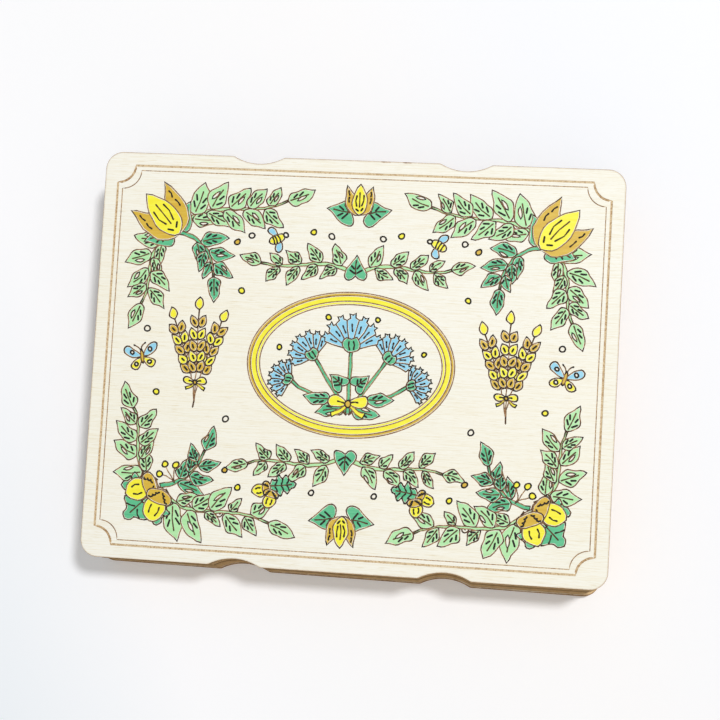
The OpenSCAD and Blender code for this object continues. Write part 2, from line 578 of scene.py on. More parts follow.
# %% Acorns and wheat
def acorn(spot):
    """An acorn with its cup at the origin."""
    nut = curve((0.3, 0), (0.3, 0.5), (0.98, 0.5), (1.12, 0))
    spot.shape(YELLOW, both_sides(nut))
    spot.pair([(0.58, 0.14), (0.72, 0.16), (0.86, 0.12)])
    cup = curve((0, 0), (0, 0.5), (0.3, 0.52), (0.42, 0.36), steps=7)
    cup += curve(cup[-1], (0.46, 0.2), (0.47, 0.1), (0.47, 0), steps=3)[1:]
    spot.shape(OCHRE, both_sides(cup))
    for k in range(3):
        x, y = 0.11 + 0.1 * k, 0.06 + 0.08 * k
        spot.pair([(x, y), (x + 0.05, y + 0.05), (x + 0.05, y + 0.11)], weight=1.3)


def wheat_ear(route, grains, size, mirror):
    """A stalk with two rows of grains and one at the tip."""
    Spot(0, 0, 0, mirror).line(route, weight=0.6)
    grain = both_sides(curve((0, 0), (0.2, 0.46), (0.66, 0.38), (1, 0), steps=8))
    for k in range(grains):
        for side in (1, -1):
            x, y, heading = place_on(route, 0.42 + 0.55 * k / grains)
            away = math.radians(heading + 90 * side)
            x, y = x + 0.5 * math.cos(away), y + 0.5 * math.sin(away)
            spot = Spot(x, y, heading + 26 * side, mirror, size)
            spot.shape(YELLOW if k % 2 else OCHRE, grain)
            spot.line([(0.3, 0), (0.6, 0)], weight=1.2)
    Spot(*place_on(route, 1), mirror, size).shape(YELLOW, grain)


print("seeds: acorn and wheat ear")

# %% Butterfly, bee and bow
def butterfly(spot):
    """Two pairs of wings about a slim body, its head along +X."""
    low = curve((-0.04, 0.06), (-0.1, 0.7), (-0.5, 1.0), (-0.68, 0.6), steps=7)
    low += curve(low[-1], (-0.82, 0.3), (-0.4, 0.1), (-0.1, 0.05), steps=5)[1:]
    top = curve((0.08, 0.05), (0.5, 0.35), (1.05, 0.75), (0.62, 1.05), steps=8)
    top += curve(top[-1], (0.26, 1.15), (0, 0.6), (-0.02, 0.08), steps=6)[1:]
    feeler = curve((0.36, 0.02), (0.6, 0.06), (0.72, 0.2), (0.8, 0.34), steps=5)
    for side in (1, -1):
        for finish, half in ((YELLOW, low), (BLUE, top)):
            wing = flip(half, side)
            spot.shape(finish, wing)
            middle = Vector((sum(p[0] for p in wing), sum(p[1] for p in wing))) / len(wing)
            spot.shape(BARE, [(middle.x + x, middle.y + y) for x, y in ellipse(0.12, steps=8)])
        spot.line(flip(feeler, side))
    spot.shape(OCHRE, ellipse(0.42, 0.11, steps=14), gap=0.16)


def bee(spot):
    """A striped bee seen from above, its head along +X."""
    wing = curve((0.12, 0.16), (0.4, 0.8), (-0.25, 1.1), (-0.36, 0.7), steps=7)
    wing += curve(wing[-1], (-0.4, 0.5), (-0.15, 0.3), (0, 0.17), steps=4)[1:]
    for side in (1, -1):
        spot.shape(BLUE, flip(wing, side))
    spot.shape(YELLOW, ellipse(0.54, 0.3, steps=16))
    for x in (-0.26, -0.06, 0.14):
        half = 0.26 * math.sqrt(1 - (x / 0.54) ** 2)
        spot.line([(x, -half), (x + 0.03, 0), (x, half)], weight=2)
    spot.shape(BARE, [(0.64 + x, y) for x, y in ellipse(0.15, steps=8)], weight=1.5)


def bow(spot):
    """A ribbon bow with two loops and two tails."""
    tail = curve((0, 0), (0.3, -0.3), (0.5, -0.5), (0.9, -0.62), steps=5)
    band = ribbon_along(tail, 0.12, 0.28)
    loop = curve((0, 0), (0.4, 0.62), (1.16, 0.6), (1.1, 0.08), steps=8)
    loop += curve(loop[-1], (1.04, -0.34), (0.4, -0.24), (0, 0), steps=7)[1:-1]
    for side in (1, -1):
        spot.shape(YELLOW, [(side * x, y) for x, y in band], gap=0.18)
        spot.shape(YELLOW, [(side * x, y) for x, y in loop])
        spot.line([(side * 0.2, 0.06), (side * 0.4, 0.12), (side * 0.56, 0.12)])
    spot.shape(OCHRE, ellipse(0.17, 0.2, steps=10), gap=0.16)


print("visitors: butterfly and bee, with a bow for the stalks")

# %% [markdown]
# ## The layout
#
# The design is an old and common one for a lid: a line frame with bitten corners, an oval in
# the middle, sprigs that grow along the edges from each corner, and small creatures in the gaps.
# It is drawn for one quarter or one half, and mirrored.

# %% Frame line and oval
FRAME_TANS = (0.0, LINE_TAN / 2)


def frame_line(half_x, half_y, bite, tan, thin):
    """A thin rectangle with a round bite out of each corner."""
    points = []
    for sx, sy, start in ((1, 1, 270), (-1, 1, 0), (-1, -1, 90), (1, -1, 180)):
        centre = (sx * half_x, sy * half_y)
        points += arc(centre, bite, start, start - 90)
        last = math.radians(start - 90)
        points.append((centre[0] + bite * math.cos(last), centre[1] + bite * math.sin(last)))
    burn(points, True, weight=0.9, tan=tan, thin=thin)


def oval_band(rx, ry, bands):
    """Nested ovals of paint, each with a burnt line round it. bands lists width and finish."""
    grow = sum(width for width, _ in bands)
    for width, finish in bands:
        rim = ellipse(rx + grow, ry + grow, steps=100)
        fill(BARE, rim, edged=False)
        fill(finish, offset(rim, PAINT_GAP))
        burn(rim, True, weight=0.8)
        grow -= width
    inner = ellipse(rx, ry, steps=100)
    fill(BARE, offset(inner, -PAINT_GAP))
    burn(inner, True, weight=0.8)


print("the frame's two lines have a darkness of", FRAME_TANS, "where the laser runs fast")

# %% Bouquet and corners
SIDES = ((1, 1), (-1, 1))


def bouquet():
    """Five cornflowers tied with a bow, inside the oval."""
    for end in ((-19.6, -6.4), (19.6, -6.4), (-12, 1.6), (12, 1.6), (0, 5.2)):
        stalk = curve((0, -16.5), (0.28 * end[0], -11), (0.74 * end[0], end[1] - 5), end, steps=7)
        Spot(0, 0).shape(EMERALD, ribbon_along(stalk, 1.2, 1.0), gap=0.16)
    for mirror in SIDES:
        leaf(Spot(1.2, -15.0, -10, mirror), 10.0, 4.4, EMERALD)
        leaf(Spot(6.2, -11.4, 2, mirror), 9.2, 4.2, EMERALD)
        heart_leaf(Spot(2.0, -7.4, 40, mirror, 6.2))
        cornflower(Spot(19.8, -6.2, 14, mirror, 8.0))
        cornflower(Spot(12.2, 1.8, 50, mirror, 9.6))
        berry(Spot(8.4, 15.8, 0, mirror, 0.85), YELLOW)
        berry(Spot(24.6, 4.8, 0, mirror, 0.85), YELLOW)
    cornflower(Spot(0, 5.0, 90, size=12.2))
    bow(Spot(0, -13.2, size=6.2))


def upper_corner(mirror):
    """A tulip in the corner with branches along both edges and a sprig towards the middle."""
    sprig = curve((61.5, 42.6), (55, 42), (49, 36), (48.8, 28), steps=14)
    branch(sprig, 3, 9.4, 7.4, EMERALD, mirror, start=0.34)
    along = curve((61, 44), (54, 56), (38, 48), (24.5, 55.0), steps=20)
    branch(along, 5, 12.6, 8.4, MINT, mirror, tendrils=((0.3, 1), (0.62, -1)))
    down = curve((63, 42), (75.6, 36), (68.6, 27), (73.4, 17.5), steps=16)
    branch(down, 4, 10.8, 8.0, MINT, mirror, tendrils=((0.5, -1),))
    heart_leaf(Spot(62.6, 45.2, 116, mirror, 9.4))
    heart_leaf(Spot(65.0, 42.6, -22, mirror, 9.4))
    tulip(Spot(61.4, 42.0, 47, mirror, 17.0))


def lower_corner(mirror):
    """An oak sprig in the corner with branches along both edges."""
    sprig = curve((62.5, -44.5), (56, -43.5), (50.5, -40), (48, -31.5), steps=12)
    branch(sprig, 3, 9.0, 7.2, EMERALD, mirror, start=0.3)
    berry_spray(*place_on(sprig, 0.26)[:2], 58, mirror)
    along = curve((61, -46), (54, -57.5), (38, -48), (24.5, -55.0), steps=20)
    branch(along, 5, 12.6, 8.4, MINT, mirror, tendrils=((0.32, -1), (0.62, 1)))
    up = curve((64, -43), (75.6, -37), (68.6, -28), (73.4, -18.5), steps=16)
    branch(up, 4, 10.8, 8.0, MINT, mirror, tendrils=((0.5, 1),))
    for turn, length in ((-45, 16.0), (0, 13.0), (-90, 13.0)):
        lobed_leaf(Spot(63.0, -45.0, turn, mirror), length, 0.32 * length)
    acorn(Spot(63.8, -43.8, -20, mirror, 10.2))
    acorn(Spot(61.8, -46.0, -70, mirror, 10.2))


print("the bouquet is drawn about the middle, and the corners for the sides", SIDES)

# %% Draw the picture
BERRIES = (
    (41.2, 40.2, OCHRE), (15.0, 44.6, YELLOW), (36.4, 42.6, BARE), (8.8, 43.4, BARE),
    (40.6, -38.0, OCHRE), (35.8, -43.6, YELLOW), (10.6, -43.8, BARE), (70.6, 9.0, BARE),
    (66.0, -12.6, YELLOW), (41.6, -20.6, BARE), (38.6, 23.6, YELLOW),
)


def side_middle(mirror):
    """Three ears of wheat and a butterfly beside the oval."""
    for tip in ((44.8, 12.6), (61.2, 12.6), (53, 16.4)):
        stalk = curve((53, -17), (52.4, -8), (0.5 * tip[0] + 26.5, 1), tip, steps=12)
        wheat_ear(stalk, 5, 4.4, mirror)
    bow(Spot(52.8, -8.6, 0, mirror, 3.6))
    butterfly(Spot(71.8, -0.8, 76, mirror, 5.6))


def middles(mirror):
    """What lies above and below the oval."""
    branch(curve((0.6, 31.0), (12, 38), (22, 30), (32.5, 33.6), steps=14), 4, 8.4, 6.6, MINT, mirror)
    branch(curve((0.6, -31.0), (12, -38.6), (22, -31), (33, -35), steps=14), 4, 8.4, 6.6, MINT, mirror)
    bee(Spot(27.6, 41.8, 155, mirror, 5.2))
    lobed_leaf(Spot(25.0, -42.4, 172, mirror), 9.0, 2.9)
    acorn(Spot(24.6, -42.8, -18, mirror, 5.8))
    acorn(Spot(24.0, -43.6, -78, mirror, 5.8))
    for half in (1, -1):
        both = (mirror[0], half)
        heart_leaf(Spot(2.0, 51.6, 10, both, 9.2))
    for x, y, finish in BERRIES:
        berry(Spot(x, y, 0, mirror, 0.95), finish)


frame_line(84.4, 65.4, 6.0, FRAME_TANS[0], 0.72)
frame_line(82.7, 63.7, 6.4, FRAME_TANS[1], 0.3)
oval_band(31, 20.5, ((1.1, OCHRE), (1.9, YELLOW), (1.2, YELLOW)))
bouquet()
for mirror in SIDES:
    upper_corner(mirror)
    lower_corner(mirror)
    side_middle(mirror)
    middles(mirror)
for turn in (90, -90):
    tulip(Spot(0, math.copysign(51.0, turn), turn, size=9.8))
    heart_leaf(Spot(0, math.copysign(29.6, turn), turn, size=7.8))
print("picture:", len(shapes), "shapes,", len(borders), "borders,",
      sum(finish == BURNT for finish, _, _ in shapes), "pieces of burnt line")

# %% [markdown]
# ## Cutting the picture into the board
#
# Blender has a constrained Delaunay triangulation: it fills an outline with triangles whose
# edges follow every line that it is given. All borders of the picture go in as lines, and each
# triangle is then asked which shape covers its middle, the last one laid winning. Giving the
# shapes as faces would answer that too, but takes minutes with thousands of them.

# %% Which shape covers a triangle
CELL = 2.0


class Middles:
    """The middles of many triangles, sorted into cells so that a shape finds those near it."""

    def __init__(self, points):
        self.points = np.array(points)
        self.cells = {}
        for i, (x, y) in enumerate(np.floor(self.points / CELL).astype(int).tolist()):
            self.cells.setdefault((x, y), []).append(i)

    def near(self, shape):
        """Numbers of the middles in the cells that a shape's box touches."""
        xs, ys = [p[0] for p in shape], [p[1] for p in shape]
        found = []
        for cx in range(math.floor(min(xs) / CELL), math.floor(max(xs) / CELL) + 1):
            for cy in range(math.floor(min(ys) / CELL), math.floor(max(ys) / CELL) + 1):
                found += self.cells.get((cx, cy), ())
        return np.array(found, int)

    def inside(self, shape):
        """Numbers of the middles that a closed outline holds."""
        near = self.near(shape)
        x, y = self.points[near].T if len(near) else (np.empty(0), np.empty(0))
        held = np.zeros(len(near), bool)
        for (ax, ay), (bx, by) in zip(shape, shape[1:] + shape[:1]):
            if ay != by:
                held ^= ((ay > y) != (by > y)) & (x < (bx - ax) * (y - ay) / (by - ay) + ax)
        return near[held]


def cut_face(rim, lines):
    """Triangles inside a rim that follow some lines. Returns points, triangles and the rim's order."""
    points, edges = [Vector(p) for p in rim], []
    for line in lines:
        first = len(points)
        points += [Vector(p) for p in line]
        edges += [(first + i, first + (i + 1) % len(line)) for i in range(len(line))]
    made = delaunay_2d_cdt(points, edges, [list(range(len(rim)))], 1, 1e-4, True)
    corners, sources, origins = made[0], made[3], made[5]
    triangles = [triangle for triangle, faces in zip(made[2], origins) if faces]
    order = {}
    for i, given in enumerate(sources):
        for number in given:
            if number < len(rim):
                order[number] = i
    return [tuple(c) for c in corners], triangles, [order[i] for i in range(len(rim))]


print("the picture's mesh cells are", CELL, "mm wide")

# %% [markdown]
# ## The boards
#
# A board is a face, a scorched rim that is rounded by a tenth of a millimetre, a straight wall
# as the laser leaves it, and an underside. Burnt lines are sunk a little below the face, each
# with its own small walls. Three attributes are kept for the materials: how dark a line is
# burnt, how near the rim a point is, and a UV map that runs round the wall in metres.

# %% Scorched rim
RIM_ROUND = 0.12
# How far each board's rim is scorched, and how strongly: 1 is tan, 2 is dark brown
# The bottom board's strong dark rim is partly laser scorch and partly painted shade at the pile's foot
RIM_SCORCH_AND_SHADE = {"painted_top_board": (0.45, 0.6), "plain_bottom_board": (0.5, 2.0)}
MOST_HEAT, BEND_HEAT = 2.0, 0.5
# Two bridges held each board in its sheet of plywood, and charred as they were cut
TAB_MARKS, TAB_MARK_W, TAB_HEAT = (8.2, 15.3), 2.2, 2.2


def rim_burn(rim, points, reach, most):
    """For each point, how scorched it is by the cut round the board."""
    slow = slowness(rim, True)
    tree = KDTree(len(rim))
    for i, (x, y) in enumerate(rim):
        tree.insert((x, y, 0), i)
    tree.balance()
    found = []
    for x, y in points:
        _, nearest, away = tree.find((x, y, 0))
        heat = most + BEND_HEAT * slow[nearest]
        if y > 0 and any(abs(x - mark) < TAB_MARK_W / 2 for mark in TAB_MARKS):
            heat = TAB_HEAT
        found.append(min(MOST_HEAT, heat * max(0.0, 1 - away / reach)))
    return found


print("scorched rims:", RIM_SCORCH_AND_SHADE)

# %% A mesh in the making
FINISHES = [BARE, WALL, BURNT, MINT, EMERALD, YELLOW, OCHRE, BLUE]


class Draft:
    """Points with their heat, faces with their finish, and where round the wall a face lies."""

    def __init__(self):
        self.points, self.heat = [], []
        self.faces, self.finish, self.darkness = [], [], []
        self.runs = {}

    def add_points(self, flat, z, heat):
        """Add points at one height, with a list of their heat. Returns their numbers."""
        first = len(self.points)
        self.points += [(x, y, z) for x, y in flat]
        self.heat += heat
        return list(range(first, len(self.points)))

    def add_face(self, corners, finish, dark=0.0):
        """Add a face with its finish, and for a burnt line how dark it is."""
        self.faces.append(tuple(corners))
        self.finish.append(FINISHES.index(finish))
        self.darkness.append(dark)

    def to_mesh(self, name, used):
        """The finished mesh, with the materials of the finishes that it uses."""
        mesh = bpy.data.meshes.new(name)
        mesh.from_pydata(self.points, [], self.faces)
        for finish in used:
            mesh.materials.append(finishes[finish])
        mesh.polygons.foreach_set("material_index", self.finish)
        mesh.polygons.foreach_set("use_smooth", [FINISHES[i] == WALL for i in self.finish])
        mesh.attributes.new("darkness", "FLOAT", "FACE").data.foreach_set("value", self.darkness)
        mesh.attributes.new("scorch", "FLOAT", "POINT").data.foreach_set("value", self.heat)
        run = mesh.uv_layers.new(name="round_the_wall")
        for number, (start, end) in self.runs.items():
            for corner, u in zip(mesh.polygons[number].loop_indices, (start, end, end, start)):
                z = self.points[mesh.loops[corner].vertex_index][2]
                run.data[corner].uv = (u, z * MM)
        return mesh


print("a board can have the finishes", FINISHES)

# %% Face, wall and underside of a board
GROOVE_DEPTH = 0.12


def lay_picture(draft, flat, triangles, height):
    """The face of a board. Each triangle takes the last shape over it, and burnt lines are sunk."""
    middles_of = Middles([np.mean([flat[c] for c in t], axis=0) for t in triangles])
    owner = np.full(len(triangles), -1)
    for number, (_, _, points) in enumerate(shapes):
        owner[middles_of.inside(points)] = number
    sunk, burnt_edges = {}, {}
    for triangle, number in zip(triangles, owner):
        finish, dark = (BARE, 0.0) if number < 0 else shapes[number][:2]
        if finish == BURNT:
            for a, b in zip(triangle, (*triangle[1:], triangle[0])):
                burnt_edges[(a, b)] = dark
            for c in triangle:
                if c not in sunk:
                    sunk[c] = draft.add_points([flat[c]], height - GROOVE_DEPTH, [0.0])[0]
            triangle = [sunk[c] for c in triangle]
        draft.add_face(triangle, finish, dark)
    for (a, b), dark in burnt_edges.items():
        if (b, a) not in burnt_edges:
            draft.add_face((a, b, sunk[b], sunk[a]), BURNT, dark)


def lay_wall(draft, rim, upper, height):
    """The rounded rims and the wall between them, below a ring of points. Returns the lowest ring."""
    outer = offset(rim, -RIM_ROUND)
    around = np.cumsum([0] + [math.dist(a, b) for a, b in zip(outer, outer[1:] + outer[:1])]) * MM
    for points, z in ((outer, height - RIM_ROUND), (outer, RIM_ROUND), (rim, 0)):
        lower = draft.add_points(points, z, [1.0] * len(points))
        for i in range(len(rim)):
            j = (i + 1) % len(rim)
            draft.runs[len(draft.faces)] = (around[i], around[i + 1])
            draft.add_face((lower[i], lower[j], upper[j], upper[i]), WALL)
        upper = lower
    return upper


def lay_underside(draft, rim, lowest, rings_in, scorch):
    """The plain face under a board, inside the lowest ring of its wall."""
    flat, triangles, order = cut_face(rim, rings_in)
    number_of = dict(zip(order, lowest))
    for corner, heat in enumerate(rim_burn(rim, flat, *scorch)):
        if corner not in number_of:
            number_of[corner] = draft.add_points([flat[corner]], 0, [heat])[0]
    for triangle in triangles:
        draft.add_face([number_of[c] for c in reversed(triangle)], BARE)


print("burnt lines are", GROOVE_DEPTH, "mm deep")

# %% Build a board
def build_board(name, node, drawn):
    """A board at its place in the pile, with the picture on its face if it is drawn."""
    low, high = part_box(node)
    height = (high.z - low.z) / MM
    rim, scorch = outline(RIM_ROUND), RIM_SCORCH_AND_SHADE[name]
    rings_in = [outline(RIM_ROUND + share * scorch[0]) for share in (0.5, 1)]
    flat, triangles, order = cut_face(rim, rings_in + (borders if drawn else []))
    draft = Draft()
    draft.add_points(flat, height, rim_burn(rim, flat, *scorch))
    if drawn:
        lay_picture(draft, flat, triangles, height)
    else:
        for triangle in triangles:
            draft.add_face(triangle, BARE)
    lowest = lay_wall(draft, rim, order, height)
    lay_underside(draft, rim, lowest, rings_in, scorch)
    mesh = draft.to_mesh(name, FINISHES if drawn else FINISHES[:2])
    mesh.transform(lie_of(node))
    board = bpy.data.objects.new(name, mesh)
    bpy.context.scene.collection.objects.link(board)
    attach(board, node)
    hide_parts(node)
    low_made, high_made = board.bound_box[0], board.bound_box[6]
    print(name, len(mesh.polygons), "faces; off the frame's box by at most",
          round(max(max(abs(a - b) for a, b in zip(low_made, low)),
                    max(abs(a - b) for a, b in zip(high_made, high))) / MM, 3), "mm")


# %% [markdown]
# ## Materials of the boards
#
# The boards are three-ply of a pale wood such as basswood or birch, sanded and left bare. What
# the eye gets is a cream ground whose tone drifts slowly over the board, soft bands some
# centimetres long, and fine short streaks of darker grain that all run along it. Each is a noise
# texture stretched along X, with its scale worked out from the width and length of the real
# streaks.

# %% Pale plywood face
# Each layer of grain: length and width in mm, detail, seed, the noise at which it begins and at
# which it is full, its strength then, and its colour
WOOD_LAYERS = (
    (260, 130, 1, 3.9, 0.35, 0.65, 0.7, "#fbf7e4"),
    (90, 9, 3, 1.7, 0.32, 0.68, 0.9, "#fcfbf0"),
    (15, 0.27, 4, 5.1, 0.46, 0.74, 0.5, "#ecdeb5"),
    (6, 0.24, 2, 9.4, 0.6, 0.72, 0.5, "#dcc997"),
    (2.2, 0.4, 3, 4.4, 0.5, 0.75, 0.28, "#f0e6c9"),
)


def streaks(tree, long_mm, wide_mm, detail, seed):
    """Noise drawn out along X into streaks of a real length and width, on the whole object."""
    mapped = add(tree, "ShaderNodeMapping", {
        "Vector": add(tree, "ShaderNodeTexCoord").outputs["Object"],
        "Location": (seed, 2 * seed, 3 * seed),
        "Scale": (1 / (long_mm * MM), 1 / (wide_mm * MM), 1 / (wide_mm * MM)),
    })
    return add(tree, "ShaderNodeTexNoise", {
        "Vector": mapped, "Scale": 1.0, "Detail": detail, "Roughness": 0.55})


def patches(tree, long_mm, wide_mm, detail, seed, low=0.3, high=0.7, least=0.0, most=1.0):
    """Streaks as a share that grows from least to most while their noise rises from low to high."""
    return add(tree, "ShaderNodeMapRange", {
        "Value": streaks(tree, long_mm, wide_mm, detail, seed),
        "From Min": low, "From Max": high, "To Min": least, "To Max": most})


def plywood_face():
    """Sanded pale plywood: dry and matt, with a scorched rim where the laser cut it out."""
    made, tree, surface = new_material("sanded_pale_plywood", 0.62, 1.5)
    wood = linear("#fffffa")
    for long_mm, wide_mm, detail, seed, low, high, most, colour in WOOD_LAYERS:
        wood = add(tree, "ShaderNodeMix", {
            "Factor": patches(tree, long_mm, wide_mm, detail, seed, low, high, most=most),
            "A": wood, "B": linear(colour)}, data_type="RGBA")
    heat = add(tree, "ShaderNodeAttribute", attribute_name="scorch")
    uneven = add(tree, "ShaderNodeMath", {
        0: heat.outputs["Fac"], 1: patches(tree, 1.6, 1.6, 2, 2.2, least=0.45)}, operation="MULTIPLY")
    scorched = add(tree, "ShaderNodeMix", {
        "Factor": uneven, "A": wood, "B": linear("#b08a58")}, data_type="RGBA", clamp_factor=True)
    charring = add(tree, "ShaderNodeMapRange", {"Value": uneven, "From Min": 0.8, "From Max": 1.6})
    charred = add(tree, "ShaderNodeMix", {
        "Factor": charring, "A": scorched, "B": linear("#5f4128")}, data_type="RGBA")
    feed(tree, surface.inputs["Base Color"], charred)
    feed(tree, surface.inputs["Normal"], add(tree, "ShaderNodeBump", {
        "Height": streaks(tree, 7, 0.22, 3, 3.3), "Strength": 0.16, "Distance": 0.05 * MM}))
    return made


finishes = {BARE: plywood_face()}
print("made", finishes[BARE].name)

# %% [markdown]
# The wall of a laser-cut board is toasted brown. The beam leaves fine upright ridges, the
# middle ply has its grain turned and burns darker, and the colour fades from one face to the
# other. The wall's own UV map gives both directions in metres.

# %% Laser-cut wall
# Heights of the seams between the three plies, and half the width over which their tones mix
PLY_SEAMS, SEAM_BLUR = (0.9, 2.1), 0.06


def laser_cut_wall():
    """Toasted plywood: upright ridges from the beam over three plies."""
    made, tree, surface = new_material("laser_cut_plywood_wall", 0.7, 1.5)
    run = add(tree, "ShaderNodeUVMap", uv_map="round_the_wall")
    noises = []
    for wide_mm, tall_mm, detail in ((0.45, 5, 3.0), (14, 1.2, 2.0)):
        mapped = add(tree, "ShaderNodeMapping", {
            "Vector": run, "Scale": (1 / (wide_mm * MM), 1 / (tall_mm * MM), 1)})
        noises.append(add(tree, "ShaderNodeTexNoise", {"Vector": mapped, "Scale": 1.0, "Detail": detail}))
    ridges, drift = noises
    up = add(tree, "ShaderNodeSeparateXYZ", {"Vector": run}).outputs["Y"]
    plies = add(tree, "ShaderNodeValToRGB", {
        "Fac": add(tree, "ShaderNodeMath", {0: up, 1: BOARD_T * MM}, operation="DIVIDE")})
    below, above = [[(seam + way * SEAM_BLUR) / BOARD_T for way in (-1, 1)] for seam in PLY_SEAMS]
    set_stops(plies, (0, "#8d6740"), (below[0], "#a47c4e"), (below[1], "#6b4a2d"),
              (above[0], "#74522f"), (above[1], "#b28b5b"), (1, "#b08a5a"))
    toast = add(tree, "ShaderNodeMapRange", {
        "Value": ridges, "From Min": 0.42, "From Max": 0.68, "To Max": 0.6})
    toasted = add(tree, "ShaderNodeMix", {
        "Factor": toast, "A": plies, "B": linear("#4a3320")}, data_type="RGBA")
    fade = add(tree, "ShaderNodeMapRange", {
        "Value": drift, "From Min": 0.5, "From Max": 0.75, "To Max": 0.5})
    paler = add(tree, "ShaderNodeMix", {
        "Factor": fade, "A": toasted, "B": linear("#c9a877")}, data_type="RGBA")
    feed(tree, surface.inputs["Base Color"], paler)
    feed(tree, surface.inputs["Normal"], add(tree, "ShaderNodeBump", {
        "Height": ridges, "Strength": 0.5, "Distance": 0.06 * MM}))
    return made


finishes[WALL] = laser_cut_wall()
print("made", finishes[WALL].name)

# %% [markdown]
# A burnt line is tan where the beam ran fast and nearly black where it slowed down. The darkness
# that was kept on each face picks the colour from a short ramp, and a fine noise breaks it up.
#
# The paints are water-based pens: flat, slightly streaky colours that let a little of the grain
# through. They differ only in their colours, so one function makes all five.

# %% Burnt line and paints
def burnt_wood():
    """Charred wood in the grooves: dry, dark and without shine."""
    made, tree, surface = new_material("laser_burnt_line", 0.85, 1.5)
    dark = add(tree, "ShaderNodeAttribute", attribute_name="darkness")
    speck = patches(tree, 0.6, 0.6, 2, 6.6, least=-0.14, most=0.14)
    level = add(tree, "ShaderNodeMath", {
        0: dark.outputs["Fac"], 1: speck}, operation="ADD", use_clamp=True)
    burn_tone = add(tree, "ShaderNodeValToRGB", {"Fac": level})
    set_stops(burn_tone, (0, "#e0cba6"), (0.12, "#c8aa80"), (0.24, "#a17a54"), (0.42, "#62442d"),
              (0.72, "#1e1712"))
    feed(tree, surface.inputs["Base Color"], burn_tone)
    return made


def pen_paint(name, colour, thick, thin):
    """Acrylic pen paint: a flat colour, deeper where strokes overlap and paler where they thin out."""
    made, tree, surface = new_material(name, 0.5, 1.47)
    laid = add(tree, "ShaderNodeMix", {
        "Factor": patches(tree, 6, 1.3, 3, 4.2, 0.34, 0.66),
        "A": linear(colour), "B": linear(thick)}, data_type="RGBA")
    worn = add(tree, "ShaderNodeMix", {
        "Factor": patches(tree, 14, 0.5, 4, 5.1, 0.56, 0.78, most=0.6),
        "A": laid, "B": linear(thin)}, data_type="RGBA")
    feed(tree, surface.inputs["Base Color"], worn)
    feed(tree, surface.inputs["Normal"], add(tree, "ShaderNodeBump", {
        "Height": streaks(tree, 7, 0.3, 3, 3.3), "Strength": 0.12, "Distance": 0.04 * MM}))
    return made


# Each paint's own colour, where strokes overlap, and where it thins out
PAINTS = {
    MINT: ("#c0f2b8", "#b0eaa8", "#d4f6ca"),
    EMERALD: ("#66c896", "#50ba86", "#8cd6aa"),
    YELLOW: ("#fffb40", "#fbf02c", "#fffb78"),
    OCHRE: ("#e0be42", "#d6ae30", "#ead068"),
    BLUE: ("#9fdef6", "#8ed4f2", "#bce8f8"),
}
finishes[BURNT] = burnt_wood()
for kind, shades in PAINTS.items():
    finishes[kind] = pen_paint(kind + "_pen_paint", *shades)
print("made", [m.name for m in finishes.values()])

# %% Make both boards
build_board("painted_top_board", "top_board", True)
build_board("plain_bottom_board", "bottom_board", False)

# %% [markdown]
# ## Kraft card, cut by the laser
#
# The card is recycled brown paper, dull and fibrous. The beam toasts its cut edge and singes a
# rim of some tenths of a millimetre on its flat faces. The rims of the upper sheets are darkened
# more than that, as painted shade under the top board. That rim could be painted into the mesh,
# as on the boards, but it would need a row of small faces all round. The outline is only
# straight lines and arcs, so the material works out the distance to it from each point's place
# on its sheet, which the tree below keeps as an attribute.

# %% How far a place on a card sheet is from its cut edge
CARD_INSET = 0.5
SINGE_REACH = 0.4


def from_cut_edge(tree):
    """The distance in millimetres to the rounded outline or to a strap seat, whichever is nearer."""
    place = add(tree, "ShaderNodeAttribute", attribute_name="sheet_place").outputs["Vector"]
    flat = add(tree, "ShaderNodeVectorMath", {0: place, 1: (1, 1, 0)}, operation="MULTIPLY")
    quarter = add(tree, "ShaderNodeVectorMath", {0: flat}, operation="ABSOLUTE")
    corner = CORNER_R - CARD_INSET
    past = add(tree, "ShaderNodeVectorMath", {
        0: quarter, 1: (BOARD_W / 2 - CORNER_R, BOARD_D / 2 - CORNER_R, 0)}, operation="SUBTRACT")
    past_corner = add(tree, "ShaderNodeVectorMath", {0: past, 1: (0, 0, 0)}, operation="MAXIMUM")
    out = add(tree, "ShaderNodeVectorMath", {0: past_corner}, operation="LENGTH").outputs["Value"]
    to_edge = add(tree, "ShaderNodeMath", {0: corner, 1: out}, operation="SUBTRACT")
    seat_middle = (SEAT_SPACING / 2, BOARD_D / 2 - SEAT_DEPTH + SEAT_R, 0)
    away = add(tree, "ShaderNodeVectorMath", {0: quarter, 1: seat_middle}, operation="DISTANCE")
    to_seat = add(tree, "ShaderNodeMath", {
        0: away.outputs["Value"], 1: SEAT_R + CARD_INSET}, operation="SUBTRACT")
    return add(tree, "ShaderNodeMath", {0: to_edge, 1: to_seat}, operation="MINIMUM")


print("card is singed over", SINGE_REACH, "mm along its cut edge")

# %% Card materials
FLUTE_PITCH = 6.5


